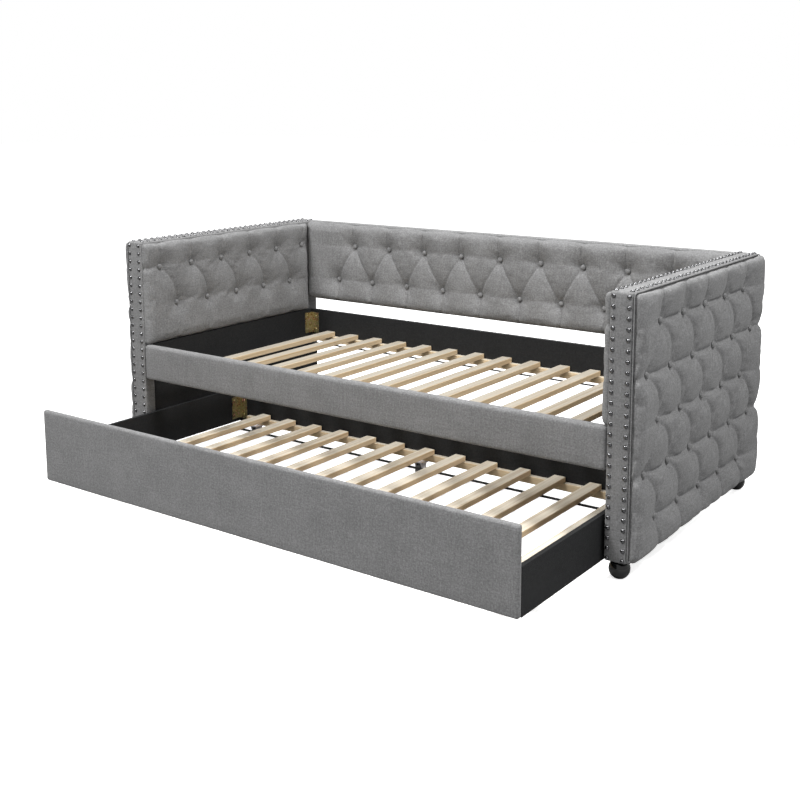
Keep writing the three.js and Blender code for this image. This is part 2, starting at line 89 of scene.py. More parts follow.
# ---- materials ------------------------------------------------------------
class Nodes:
    """Short calls for building one material's node tree."""

    def __init__(self, name):
        self.mat = bpy.data.materials.new(name)
        self.mat.use_nodes = True
        self.tree = self.mat.node_tree
        self.shader = self.tree.nodes["Principled BSDF"]
        self.place = self.add("ShaderNodeTexCoord").outputs["Object"]

    def add(self, kind, **values):
        node = self.tree.nodes.new(kind)
        for key, value in values.items():
            setattr(node, key, value)
        return node

    def link(self, a, b):
        self.tree.links.new(a, b)

    def stretched(self, scale):
        mapping = self.add("ShaderNodeMapping")
        mapping.inputs["Scale"].default_value = scale
        self.link(self.place, mapping.inputs["Vector"])
        return mapping.outputs["Vector"]

    def noise(self, scale, detail, rough, distort=0.0):
        node = self.add("ShaderNodeTexNoise")
        node.inputs["Scale"].default_value = 1.0
        node.inputs["Detail"].default_value = detail
        node.inputs["Roughness"].default_value = rough
        node.inputs["Distortion"].default_value = distort
        self.link(self.stretched(scale), node.inputs["Vector"])
        return node.outputs["Fac"]

    def math(self, op, a, b=None):
        node = self.add("ShaderNodeMath", operation=op)
        for socket, value in zip(node.inputs, (a, b)):
            if value is None:
                continue
            if isinstance(value, (int, float)):
                socket.default_value = value
            else:
                self.link(value, socket)
        return node.outputs[0]

    def ramp(self, value, stops):
        node = self.add("ShaderNodeValToRGB")
        elements = node.color_ramp.elements
        while len(elements) < len(stops):
            elements.new(0.5)
        for element, (at, colour) in zip(elements, stops):
            element.position = at
            element.color = (*colour, 1.0)
        self.link(value, node.inputs["Fac"])
        return node.outputs["Color"]

    def blend(self, *parts):
        """The weighted sum of (weight, value) pairs."""
        total = None
        for weight, value in parts:
            part = self.math("MULTIPLY", value, weight)
            total = part if total is None else self.math("ADD", total, part)
        return total

    def spread(self, value, low, high, to_low, to_high):
        node = self.add("ShaderNodeMapRange")
        for key, number in (("From Min", low), ("From Max", high), ("To Min", to_low), ("To Max", to_high)):
            node.inputs[key].default_value = number
        self.link(value, node.inputs["Value"])
        return node.outputs["Result"]

    def bump(self, height, distance, strength):
        node = self.add("ShaderNodeBump")
        node.inputs["Distance"].default_value = distance
        node.inputs["Strength"].default_value = strength
        self.link(height, node.inputs["Height"])
        self.link(node.outputs["Normal"], self.shader.inputs["Normal"])

    def colour(self, socket):
        self.link(socket, self.shader.inputs["Base Color"])

    def rough(self, socket):
        self.link(socket, self.shader.inputs["Roughness"])

    def fixed(self, **values):
        for key, value in values.items():
            self.shader.inputs[key.replace("_", " ")].default_value = value


def cloth_material(name, dark, mid, light, sheen, rough=(0.96, 0.84), specular=0.25):
    """Heathered plain weave: vertical and level yarns of uneven shade, a fine thread, mottling and slubs.
    dark, mid and light are its colours, and rough runs from the low yarns to the high ones."""
    m = Nodes(name)
    warp = m.noise((520, 520, 120), 2.0, 0.55)
    weft = m.noise((120, 120, 520), 2.0, 0.55)
    fine = m.noise((1500, 1500, 1500), 1.0, 0.5)
    slub = m.math("ADD", m.noise((230, 230, 16), 2.0, 0.6), m.noise((16, 16, 230), 2.0, 0.6))
    yarn = m.blend((0.5, warp), (0.5, weft))
    mottle = m.noise((185, 185, 185), 3.0, 0.6)
    patch = m.noise((8, 8, 8), 2.0, 0.5)
    tone = m.blend((0.36, yarn), (0.12, fine), (0.32, mottle), (0.10, slub), (0.10, patch))
    m.colour(m.ramp(tone, [(0.46, dark), (0.55, mid), (0.64, light)]))
    m.rough(m.spread(yarn, 0.3, 0.7, *rough))
    m.bump(m.math("ADD", yarn, m.math("MULTIPLY", fine, 0.6)), 0.0009, 0.55)
    m.fixed(Sheen_Weight=sheen, Sheen_Roughness=0.45, Specular_IOR_Level=specular)
    return m.mat


PINE_TONES = [(0.2, (0.52, 0.38, 0.24)), (0.4, (0.87, 0.74, 0.56)), (0.5, (1.0, 0.90, 0.74)),
              (0.6, (1.08, 1.0, 0.85))]       # from a knot to the palest wood


def pine_material(name, grain_axis, tint, sawn_tone_and_painted_light):
    """Planed softwood with browner sawn edges, whose sides are also lifted as painted light. Growth lines run
    along grain_axis, and each board has its own shade. tint scales the planed faces' colours, and the side
    multiplier then multiplies them on the sides: it browns them like sawn edges and, where it is above 1,
    brightens them as painted light."""
    m = Nodes(name)

    def along(cross, length):
        scale = [cross, cross, cross]
        scale[grain_axis] = length
        return tuple(scale)

    lines = m.noise(along(95, 1.6), 4.0, 0.62, 0.35)
    fibre = m.noise(along(700, 9), 2.0, 0.5)
    board = m.noise((11, 0.6, 0.6) if grain_axis == 1 else (0.6, 11, 0.6), 1.0, 0.5)
    knots = m.add("ShaderNodeTexVoronoi", feature="F1")
    knots.inputs["Scale"].default_value = 1.0
    knots.inputs["Randomness"].default_value = 1.0
    m.link(m.stretched(along(9.0, 2.2)), knots.inputs["Vector"])
    knot = m.spread(knots.outputs["Distance"], 0.03, 0.13, 1.0, 0.0)
    tone = m.blend((0.62, lines), (0.20, fibre), (0.18, board), (-0.4, knot))
    stops = [(at, tuple(tint * c for c in colour)) for at, colour in PINE_TONES]
    facing = m.add("ShaderNodeSeparateXYZ")
    m.link(m.add("ShaderNodeTexCoord").outputs["Normal"], facing.inputs[0])
    edge = m.math("ABSOLUTE", facing.outputs["Y" if grain_axis == 0 else "X"])
    # painted light: the sides are multiplied by a colour that browns them like sawn edges and, where above 1,
    # brightens them to stand in for light they lack
    shade = m.add("ShaderNodeMix", data_type="RGBA", blend_type="MULTIPLY")
    m.link(edge, shade.inputs[0])
    m.link(m.ramp(tone, stops), shade.inputs[6])
    shade.inputs[7].default_value = (*sawn_tone_and_painted_light, 1.0)
    m.colour(shade.outputs[2])
    m.rough(m.spread(lines, 0.3, 0.7, 0.72, 0.52))
    m.bump(m.math("ADD", lines, m.math("MULTIPLY", fibre, 0.7)), 0.0006, 0.45)
    m.fixed(Specular_IOR_Level=0.35)
    return m.mat


def metal_material(name, tints, rough, scale, metallic=1.0):
    """Plated metal: cloudy tints, fine rolling marks and uneven polish."""
    m = Nodes(name)
    cloud = m.noise((scale, scale, scale), 3.0, 0.6)
    marks = m.noise((scale * 22, scale * 22, scale * 2), 2.0, 0.5)
    tone = m.blend((0.8, cloud), (0.2, marks))
    m.colour(m.ramp(tone, list(zip(np.linspace(0.38, 0.62, len(tints)), tints))))
    m.rough(m.spread(cloud, 0.3, 0.7, rough * 0.75, rough * 1.35))
    m.bump(marks, 0.0002, 0.3)
    m.fixed(Metallic=metallic)
    return m.mat


def hard_material(name, low, high, rough, coat, grain):
    """Lacquered or moulded black: faint mottling, orange-peel or moulding grain."""
    m = Nodes(name)
    cloud = m.noise((30, 30, 30), 3.0, 0.6)
    peel = m.noise((grain, grain, grain), 2.0, 0.5)
    m.colour(m.ramp(cloud, [(0.35, low), (0.65, high)]))
    m.rough(m.spread(peel, 0.3, 0.7, rough * 0.8, rough * 1.4))
    m.bump(peel, 0.0003, 0.2)
    m.fixed(Coat_Weight=coat, Coat_Roughness=0.05)
    return m.mat


LINEN = cloth_material("grey_linen", (0.134, 0.134, 0.135), (0.190, 0.190, 0.191),
                       (0.260, 0.260, 0.261), 0.12)
BLACK = cloth_material("black_cloth", (0.0060, 0.0062, 0.0068), (0.0098, 0.0102, 0.0110),
                       (0.0145, 0.0152, 0.0163), 0.02, (0.76, 0.62), 0.30)
WEBBING = cloth_material("black_webbing", (0.004, 0.004, 0.004), (0.009, 0.009, 0.009),
                         (0.018, 0.018, 0.018), 0.03)
# Painted light: three copies of one pine that differ for light. The trundle's planed faces are brighter than
# the bed's to make up for the bed's shade over them, and side multipliers above 1 brighten the sides of slats
# and ledgers as painted light; channels below 1 are the sawn edges' own browner tone.
PINE_BED = pine_material("pine_bed_slats", 1, 0.395, (1.60, 1.37, 1.06))
PINE_TRUNDLE = pine_material("pine_trundle_slats", 1, 0.71, (1.10, 0.93, 0.72))
PINE_X = pine_material("pine_ledgers", 0, 0.50, (1.40, 1.21, 0.94))
ZINC_TINTS = [(0.62, 0.36, 0.30), (0.34, 0.30, 0.10), (0.66, 0.56, 0.34), (0.30, 0.33, 0.13),
              (0.74, 0.50, 0.40)]
ZINC = metal_material("yellow_zinc", ZINC_TINTS, 0.3, 55, 0.85)
# Partly painted light: the housings' steel is a pale grey, raised further and made barely metallic to stand in
# for light on housings that sit in the bed's shade.
STEEL = metal_material("galvanised_steel", [(0.66, 0.63, 0.66), (0.88, 0.84, 0.86)], 0.42, 45, 0.15)
# Painted reflection: the nickel is coloured far darker than bright nickel, to stand in for the dark
# surroundings its polished heads would reflect.
NICKEL = metal_material("nickel", [(0.12, 0.12, 0.124), (0.22, 0.22, 0.226)], 0.15, 150)
LACQUER = hard_material("gloss_black", (0.004, 0.004, 0.004), (0.008, 0.008, 0.0085), 0.09, 0.6, 260)
PLASTIC = hard_material("wheel_plastic", (0.05, 0.05, 0.052), (0.085, 0.085, 0.088), 0.5, 0.0, 900)


# ---- mesh helpers ---------------------------------------------------------
def piece(name, points, faces, materials, body, slot, node=None, smooth=True, slots=None):
    mesh = bpy.data.meshes.new(name)
    mesh.from_pydata([tuple(p) for p in points], [], faces)
    for material in materials if isinstance(materials, (list, tuple)) else [materials]:
        mesh.materials.append(material)
    if slots is not None:
        mesh.polygons.foreach_set("material_index", slots)
    mesh.polygons.foreach_set("use_smooth", [smooth] * len(mesh.polygons))
    mesh.update()
    obj = bpy.data.objects.new(name, mesh)
    bpy.context.scene.collection.objects.link(obj)
    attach(obj, body)
    if node:
        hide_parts(node)
    return obj


def merge(parts):
    """One point list and face list out of several."""
    points, faces = [], []
    for more_points, more_faces in parts:
        start = len(points)
        points.extend(more_points)
        faces.extend([tuple(i + start for i in face) for face in more_faces])
    return points, faces


def frame_of(normal):
    n = np.array(normal, float)
    n /= np.linalg.norm(n)
    a = np.cross(n, (0, 0, 1) if abs(n[2]) < 0.9 else (1, 0, 0))
    a /= np.linalg.norm(a)
    return a, np.cross(n, a), n


def turned(profile, centre, normal, segments):
    """A closed solid of revolution. profile runs from axis to axis as (radius, height along normal)."""
    a, b, n = frame_of(normal)
    centre = np.array(centre, float)
    points, faces = [centre + n * profile[0][1]], []
    for radius, height in profile[1:-1]:
        for k in range(segments):
            t = 2 * math.pi * k / segments
            points.append(centre + n * height + radius * (math.cos(t) * a + math.sin(t) * b))
    points.append(centre + n * profile[-1][1])
    rings = len(profile) - 2
    for k in range(segments):
        nxt = (k + 1) % segments
        faces.append((0, 1 + nxt, 1 + k))
        for r in range(rings - 1):
            i, j = 1 + r * segments, 1 + (r + 1) * segments
            faces.append((i + k, i + nxt, j + nxt, j + k))
        last = 1 + (rings - 1) * segments
        faces.append((len(points) - 1, last + k, last + nxt))
    return points, faces


def dome(centre, normal, radius, height, segments, rim=0.0):
    """A domed head, flat underneath, that starts to curve at the height rim."""
    profile = [(0, -0.0008), (radius, -0.0008), (radius, rim)]
    for t in (18, 38, 58, 76):
        t = math.radians(t)
        profile.append((radius * math.cos(t), rim + (height - rim) * math.sin(t)))
    return turned(profile + [(0, height)], centre, normal, segments)


def axis_steps(low, high, round_):
    """Places of a wrapped board's vertices along one axis, closer together at its edges."""
    inner = max(2, round((high - low - 2 * round_) / BOARD_STEP) + 1)
    edge = round_ * np.array([0, 0.08, 0.25, 0.45, 0.7])
    middle = np.linspace(low + round_, high - round_, inner)
    return np.unique(np.round(np.r_[low + edge, middle, high - edge], 7))


def wrapped_board(low, high, round_):
    """A fabric-wrapped board: a box with round edges whose faces wander a little. The third thing returned
    is each face's axis, and whether it is on that axis's high side."""
    low, high = np.array(low, float), np.array(high, float)
    steps = [axis_steps(low[i], high[i], round_) for i in range(3)]
    index, points, faces, out = {}, [], [], []

    def vertex(key):
        if key not in index:
            index[key] = len(points)
            points.append([steps[i][key[i]] for i in range(3)])
        return index[key]

    for axis in range(3):
        i, j = [k for k in range(3) if k != axis]
        for side in (0, len(steps[axis]) - 1):
            for p in range(len(steps[i]) - 1):
                for q in range(len(steps[j]) - 1):
                    corner = []
                    for dp, dq in ((0, 0), (1, 0), (1, 1), (0, 1)):
                        key = [0, 0, 0]
                        key[axis], key[i], key[j] = side, p + dp, q + dq
                        corner.append(vertex(tuple(key)))
                    if (side == 0) != (axis == 1):
                        corner.reverse()
                    faces.append(tuple(corner))
                    out.append((axis, side != 0))
    p = np.array(points)
    q = np.clip(p, low + round_, high - round_)
    d = p - q
    length = np.linalg.norm(d, axis=1, keepdims=True)
    n = d / np.maximum(length, 1e-9)
    wander = sum(np.sin(p @ w + f) for w, f in zip(rng.normal(0, 14, (5, 3)), rng.uniform(0, 6, 5))) / 5
    p = q + n * (round_ + BOARD_WANDER * (wander[:, None] - 0.6))
    return p, faces, out


# ---- tufted pads ----------------------------------------------------------
def lattice(u_first, pitch, count, v):
    """A level row of buttons."""
    return [(u_first + pitch * k, v) for k in range(count)]


def curve(a, b, bow, pieces):
    """A crease from a to b that bows to one side."""
    a, b = np.array(a), np.array(b)
    side = np.array([-(b - a)[1], (b - a)[0]])
    t = np.linspace(0, 1, pieces + 1)[:, None]
    return a + (b - a) * t + side * bow * 4 * t * (1 - t)


# How each pad is drawn together. "row" folds join the buttons of a row, "diagonal" ones join two rows, and
# those that lean left have "left_share" of the depth. Pleats run to the edges. At the sides they are a
# "shelf", or a "fade" where the edge is far off. A pair of depths is at a fold's ends and in its middle, or
# at a pleat's start and end. The border rolls under by "undercut" degrees. "slack" is spare fabric, which
# makes the wrinkles, and "reach" is how far the cloth may carry a point.
PADS = {
    "outer": dict(crown=0.024, row=(0.88, 0.74), row_widths=(0.042, 0.010),
                  diagonal=(0.5, 0.30), diagonal_width=0.0095, bow=0.10, left_share=0.55,
                  top_pleat=(0.62, 0.34), low_pleat=(0.5, 0.25), pleat_width=0.0085,
                  fan=0.36, dimple=0.45, shelf=0.6, fade=0.6, undercut=50, slack=-0.030, reach=0.007),
    "inner": dict(crown=0.020, row=(0.12, 0.0), row_widths=(0.030, 0.014),
                  diagonal=(0.55, 0.27), diagonal_width=0.0042, bow=0.09, left_share=0.12,
                  top_pleat=(0.56, 0.44), low_pleat=(0.24, 0.05), pleat_width=0.0042,
                  fan=0.34, dimple=0.62, shelf=0.5, fade=0.14, undercut=12, slack=-0.010, reach=0.005),
    "back": dict(crown=0.022, row=(0.15, 0.02), row_widths=(0.030, 0.014),
                 diagonal=(0.55, 0.27), diagonal_width=0.0042, bow=0.012, left_share=0.8,
                 top_pleat=(0.60, 0.54), low_pleat=(0.6, 0.48), pleat_width=0.0042,
                 fan=0.30, dimple=0.62, shelf=0.3, fade=0.2, undercut=12, slack=-0.010, reach=0.005),
}
# The short folds that fan out from a button, downward and upward: how far each leans, and its length.
FAN_DOWN = ((-0.62, 0.036), (-0.16, 0.070), (0.05, 0.095), (0.24, 0.062), (0.7, 0.038))
FAN_UP = ((-0.8, 0.032), (0.15, 0.03), (0.8, 0.034))


def creases(rows, pitch, u0, u1, v0, v1, style):
    """Folds between each button and its neighbours, pleats from the outer buttons to the edges, and short
    folds that fan out below and above each button. Each is (kind, line, depth at its ends or start, depth
    in its middle or at its end, width above it, width below it)."""
    found = []
    width = style["diagonal_width"]
    end, middle = style["diagonal"]
    for k, row in enumerate(rows):
        for a, b in zip(row, row[1:]):
            found.append(("row", curve(a, b, 0.0, 1), *style["row"], *style["row_widths"]))
        if k + 1 < len(rows):
            for a in row:
                for b in rows[k + 1]:
                    if abs(a[0] - b[0]) < 0.6 * pitch:
                        rightward = b[0] > a[0]
                        share = 1.0 if rightward else style["left_share"]
                        line = curve(a, b, style["bow"] if rightward else -style["bow"], 8)
                        depth = end * (0.5 + 0.5 * share)
                        found.append(("diagonal", line, depth, middle * share, width, width))
        for a in row:
            for lean, reach in FAN_DOWN:
                stray = lean * reach + rng.uniform(-0.004, 0.004)
                tip = (a[0] + stray, a[1] - reach * rng.uniform(0.85, 1.15))
                found.append(("fan", curve(a, tip, 0.03, 3), style["fan"], 0.0, 0.0055, 0.0055))
            for lean, reach in FAN_UP:
                stray = lean * reach + rng.uniform(-0.004, 0.004)
                tip = (a[0] + stray, a[1] + reach * rng.uniform(0.8, 1.2))
                found.append(("fan", curve(a, tip, 0.03, 3), 0.8 * style["fan"], 0.0, 0.0050, 0.0050))
    for row, edge, depths in ((rows[0], v1, style["top_pleat"]), (rows[-1], v0, style["low_pleat"])):
        for a in row:
            line = curve(a, (a[0] + rng.uniform(-0.004, 0.004), edge), 0.05, 4)
            found.append(("pleat", line, *depths, style["pleat_width"], style["pleat_width"]))
    widest = min(row[0][0] for row in rows)
    for row in rows:
        for a, edge in ((row[0], u0), (row[-1], u1)):
            line = curve(a, (edge, a[1]), 0.0, 1)
            if abs(a[0] - edge) > 0.75 * pitch or row[0][0] > widest + 0.25 * pitch:
                found.append(("fade", line, style["fade"], 0.0, 0.034, 0.014))
            else:
                found.append(("pleat", line, style["shelf"], 0.8 * style["shelf"], 0.028, 0.009))
    return found


def near(u, v, line):
    """Distance to a crease, place along it, and whether the point lies above it."""
    best = np.full(u.shape, 1e9)
    at, above = np.zeros(u.shape), np.zeros(u.shape, bool)
    count = len(line) - 1
    for k in range(count):
        a, d = line[k], line[k + 1] - line[k]
        t = np.clip(((u - a[0]) * d[0] + (v - a[1]) * d[1]) / (d @ d), 0, 1)
        off_u, off_v = u - a[0] - t * d[0], v - a[1] - t * d[1]
        gap = np.hypot(off_u, off_v)
        closer = gap < best
        best = np.where(closer, gap, best)
        at = np.where(closer, (k + t) / count, at)
        above = np.where(closer, off_v > 0, above)
    return best, at, above


def puff_of(u, v, rows, folds, dimple):
    """From 0 under a button to 1 on a crown."""
    puff = np.ones(u.shape)
    for kind, line, end, middle, up, down in folds:
        gap, at, above = near(u, v, line)
        if kind in ("pleat", "fan", "fade"):
            depth = end + (middle - end) * at
        else:
            depth = middle + (end - middle) * np.abs(2 * at - 1) ** 1.6
        puff *= 1 - depth * np.exp(-gap / np.where(above, up, down))
    for b in (b for row in rows for b in row):
        du, dv = u - b[0], v - b[1]
        r = np.hypot(du, dv)
        rays = np.cos(7 * np.arctan2(dv, du) + rng.uniform(0, 6.28))      # seven wrinkles round the button
        rays = rays * np.exp(-r / 0.026) * (1 - np.exp(-r / 0.007))
        puff *= (1 - np.exp(-np.maximum(r - 0.0095, 0) / 0.012)) * (1 + 0.10 * rays)
        puff *= 1 - dimple * np.exp(-r / 0.034)
    return puff


def grid_faces(shape, flip):
    """Quads over a grid of points, and one face that closes its back."""
    index = np.arange(shape[0] * shape[1]).reshape(shape)
    quads = np.stack([index[:-1, :-1], index[1:, :-1], index[1:, 1:], index[:-1, 1:]], -1)
    quads = quads.reshape(-1, 4)
    faces = [tuple(f[::-1]) if flip else tuple(f) for f in quads.tolist()]
    ring = list(index[:, 0]) + list(index[-1, 1:]) + list(index[-2::-1, -1]) + list(index[0, -2:0:-1])
    faces.append(tuple(int(i) for i in (ring if flip else ring[::-1])))
    return faces


def settled(grid, held, flip, slack, reach):
    """Lets the pad's cover swell and wrinkle as cloth under pressure. held is 1 where it is sewn down."""
    picked = [np.unique(np.r_[np.arange(0, n, SIM_EVERY), n - 1]) for n in grid.shape[:2]]
    coarse = grid[np.ix_(*picked)]
    weight = held[np.ix_(*picked)].ravel()
    start = coarse.reshape(-1, 3)
    mesh = bpy.data.meshes.new("settling")
    mesh.from_pydata([tuple(p) for p in start], [], grid_faces(coarse.shape[:2], flip))
    obj = bpy.data.objects.new("settling", mesh)
    bpy.context.scene.collection.objects.link(obj)
    group = obj.vertex_groups.new(name="held")
    for level in range(1, 11):
        chosen = np.nonzero(np.round(weight * 10) == level)[0]
        if len(chosen):
            group.add(chosen.tolist(), level / 10, "REPLACE")
    cloth = obj.modifiers.new("cloth", "CLOTH").settings
    cloth.quality = 4
    cloth.mass = 0.3
    cloth.tension_stiffness = cloth.compression_stiffness = 12
    cloth.shear_stiffness = 4
    cloth.bending_stiffness = 0.15
    cloth.vertex_group_mass = "held"
    cloth.pin_stiffness = 1.0
    cloth.use_pressure = True
    cloth.uniform_pressure_force = 4
    cloth.shrink_min = slack
    cloth.effector_weights.gravity = 0
    scene = bpy.context.scene
    for number in range(1, SIM_FRAMES + 1):
        scene.frame_set(number)
    result = obj.evaluated_get(bpy.context.evaluated_depsgraph_get()).data
    moved = np.empty(len(mesh.vertices) * 3)
    result.vertices.foreach_get("co", moved)
    shift = moved.reshape(-1, 3) - start
    length = np.linalg.norm(shift, axis=1, keepdims=True)
    shift *= np.minimum(1, reach / np.maximum(length, 1e-9))
    bpy.data.objects.remove(obj, do_unlink=True)
    bpy.data.meshes.remove(mesh)
    scene.frame_set(1)
    shift = shift.reshape(coarse.shape)
    for axis, known in enumerate(picked):
        place = np.interp(np.arange(grid.shape[axis]), known, np.arange(len(known)))
        whole = np.minimum(place.astype(int), len(known) - 2)
        part = (place - whole).reshape([-1 if k == axis else 1 for k in range(3)])
        shift = np.take(shift, whole, axis) * (1 - part) + np.take(shift, whole + 1, axis) * part
        for _ in range(2):
            wide = np.concatenate([np.take(shift, [0], axis), shift, np.take(shift, [-1], axis)], axis)
            count = shift.shape[axis]
            before, after = np.take(wide, range(count), axis), np.take(wide, range(2, count + 2), axis)
            shift = (before + 2 * shift + after) / 4
    return grid + shift * (1 - held[..., None] ** 2)


def tufted_pad(node, axis, sign, rows, pitch, style):
    """Builds the pad that stands for node, and its buttons. It lies against the frame, and faces sign along
    axis. u runs level along it, v upward, and inward is the distance from its border."""
    low, high = (np.array(c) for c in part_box(node))
    along = 1 - axis
    u0, u1, v0, v1 = low[along], high[along], low[2], high[2]
    base = (low if sign > 0 else high)[axis]
    rim = [0, 0.0012, 0.0026, 0.0042, 0.0060, 0.0080, 0.0104, 0.0132, 0.0164]

    def steps(a, b):
        count = round((b - a - 2 * PAD_BORDER) / PAD_STEP)
        middle = np.linspace(a + PAD_BORDER, b - PAD_BORDER, count)
        return np.r_[[a + r for r in rim], middle, [b - r for r in reversed(rim)]]

    u, v = np.meshgrid(steps(u0, u1), steps(v0, v1), indexing="ij")
    shape = u.shape
    folds = creases(rows, pitch, u0, u1, v0, v1, style)
    puff = puff_of(u, v, rows, folds, style["dimple"])
    # Its square corners are drawn in to round ones.
    middle_u, middle_v = (u0 + u1) / 2, (v0 + v1) / 2
    qu = np.abs(u - middle_u) - (u1 - u0) / 2 + PAD_CORNER
    qv = np.abs(v - middle_v) - (v1 - v0) / 2 + PAD_CORNER
    across, upward = np.maximum(qu, 0), np.maximum(qv, 0)
    drawn_u = across * (1 - np.sqrt(1 - (upward / PAD_CORNER) ** 2 / 2))
    drawn_v = upward * (1 - np.sqrt(1 - (across / PAD_CORNER) ** 2 / 2))
    across, upward = across - drawn_u, upward - drawn_v
    inward = PAD_CORNER - np.hypot(across, upward) - np.minimum(np.maximum(qu, qv), 0)
    u = u - np.sign(u - middle_u) * drawn_u
    v = v - np.sign(v - middle_v) * drawn_v
    # Its border rolls under, at right angles to its outline.
    under = style["undercut"]
    turn = np.radians(-under + (90 + under) * np.clip(inward / PAD_ROUND, 0, 1))
    low_turn = math.sin(math.radians(under))
    edge = (np.sin(turn) + low_turn) / (1 + low_turn)
    roll = PAD_ROUND * (1 - np.cos(turn)) - np.clip(inward, 0, PAD_ROUND)
    beside = (across == 0) & (upward == 0)
    across, upward = np.where(beside & (qu >= qv), 1, across), np.where(beside & (qv > qu), 1, upward)
    size = np.hypot(across, upward)
    u = u - np.sign(u - middle_u) * across / size * roll
    v = v - np.sign(v - middle_v) * upward / size * roll
    wander = sum(np.sin(u * a + v * b + c) for a, b, c in rng.normal(0, 11, (6, 3))) / 6
    height = edge * (PAD_SEAT + style["crown"] * puff * (1 + 0.05 * wander))
    for kind, line, *_ in folds:            # each pleat pulls the border in a little where it ends
        if kind != "pleat":
            continue
        end, start = line[-1], line[0]
        gap = np.abs(u - end[0]) if abs(end[0] - start[0]) < 1e-6 else np.abs(v - end[1])
        way = (start - end) / np.linalg.norm(start - end)
        reach = np.hypot(u - end[0], v - end[1])
        tuck = 0.006 * np.exp(-(gap / 0.014) ** 2) * np.exp(-reach / 0.03)
        u, v = u + way[0] * tuck, v + way[1] * tuck
    points = np.zeros((*shape, 3))
    points[..., along], points[..., 2] = u, v
    points[..., axis] = base + sign * height
    flip = (sign > 0) != (axis == 0)
    held = np.exp(-np.maximum(inward, 0) / 0.006)
    for kind, line, _, depth, *_ in folds:
        if kind in ("row", "diagonal", "pleat") and depth > 0.15:
            gap, _, _ = near(u, v, line)
            held = np.maximum(held, (0.75 if kind == "row" else 0.9) * np.exp(-(gap / 0.006) ** 2))
    for b in (b for row in rows for b in row):
        held = np.maximum(held, np.exp(-(np.hypot(u - b[0], v - b[1]) / 0.014) ** 4))
    points = settled(points, held, flip, style["slack"], style["reach"])
    points, faces = points.reshape(-1, 3), grid_faces(shape, flip)
    obj = piece(node.replace("pad", "tufted_pad"), points, faces, LINEN, "daybed", "grey_linen", node)
    normal = np.zeros(3)
    normal[axis] = sign
    heads = []
    for b in (b for row in rows for b in row):
        centre = np.zeros(3)
        centre[along], centre[2], centre[axis] = b[0], b[1], base + sign * (PAD_SEAT + BUTTON_PROUD)
        heads.append(dome(centre, normal, BUTTON_RADIUS, BUTTON_HEIGHT, BUTTON_SEGMENTS, BUTTON_RIM))
    piece(node.replace("pad", "buttons"), *merge(heads), LINEN, "daybed", "grey_linen")


def pad_rows(node):
    """The buttons of a pad, row by row from the top, and their pitch along a row. Each row is shifted half a
    pitch from the one above it."""
    low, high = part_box(node)
    upper, lower = high[2] - UPPER_ROW, high[2] - LOWER_ROW
    if "outer" in node:
        pitch, drop = 0.172, 0.148
        middle, centre = (low[1] + high[1]) / 2, (low[2] + high[2]) / 2
        rows = []
        for k, count in enumerate((5, 6, 5, 6, 5)):
            rows.append(lattice(middle - pitch * (count - 1) / 2, pitch, count, centre + (2 - k) * drop))
        return rows, pitch
    if "inner" in node:
        pitch = 0.167
        first = low[1] + 0.080
        return [lattice(first, pitch, 6, upper), lattice(first + pitch / 2, pitch, 5, lower)], pitch
    pitch = 0.183
    middle = (low[0] + high[0]) / 2 + 0.029         # the back's buttons stand a little to the right
    rows = [lattice(middle - 4 * pitch, pitch, 9, upper), lattice(middle - 4.5 * pitch, pitch, 10, lower)]
    return rows, pitch


for side, sign in (("left", -1), ("right", 1)):
    tufted_pad(f"{side}_arm_outer_pad", 0, sign, *pad_rows(f"{side}_arm_outer_pad"), PADS["outer"])
    tufted_pad(f"{side}_arm_inner_pad", 0, -sign, *pad_rows(f"{side}_arm_inner_pad"), PADS["inner"])
tufted_pad("back_pad", 1, -1, *pad_rows("back_pad"), PADS["back"])


# ---- wrapped frames, nailheads and welts ----------------------------------
def wrapped(name, node, body, round_, under_black=False):
    """The fabric-wrapped board that stands for node. An arm's underside is covered in black."""
    points, faces, out = wrapped_board(*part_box(node), round_)
    slots = [1 if under_black and axis == 2 and not top else 0 for axis, top in out]
    piece(name, points, faces, [LINEN, BLACK], body, "grey_linen", node, slots=slots)


for side in ("left", "right"):
    wrapped(f"{side}_arm_wrap", f"{side}_arm_frame", "daybed", ARM_ROUND, True)
wrapped("back_wrap", "back_frame", "daybed", BACK_ROUND)
wrapped("front_rail_wrap", "front_rail", "daybed", RAIL_ROUND)
wrapped("trundle_front_wrap", "trundle_front_panel", "trundle", PANEL_ROUND)

for side in ("left", "right"):
    low, high = (np.array(c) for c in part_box(f"{side}_arm_frame"))
    heads = []
    for x in (low[0] + NAIL_INSET, high[0] - NAIL_INSET):
        z = high[2] - NAIL_START
        for k in range(math.ceil((z - low[2] - 0.008) / NAIL_PITCH)):           # down the front
            place = (x, low[1] - NAIL_PROUD, z - k * NAIL_PITCH)
            heads.append(dome(place, (0, -1, 0), NAIL_RADIUS, NAIL_HEIGHT, NAIL_SEGMENTS))
        y = low[1] + NAIL_FRONT
        for k in range(math.ceil((high[1] - 0.010 - y) / NAIL_PITCH)):          # along the top
            place = (x, y + k * NAIL_PITCH, high[2] + NAIL_PROUD)
            heads.append(dome(place, (0, 0, 1), NAIL_RADIUS, NAIL_HEIGHT, NAIL_SEGMENTS))
    piece(f"{side}_arm_nailheads", *merge(heads), NICKEL, "daybed", "nickel")


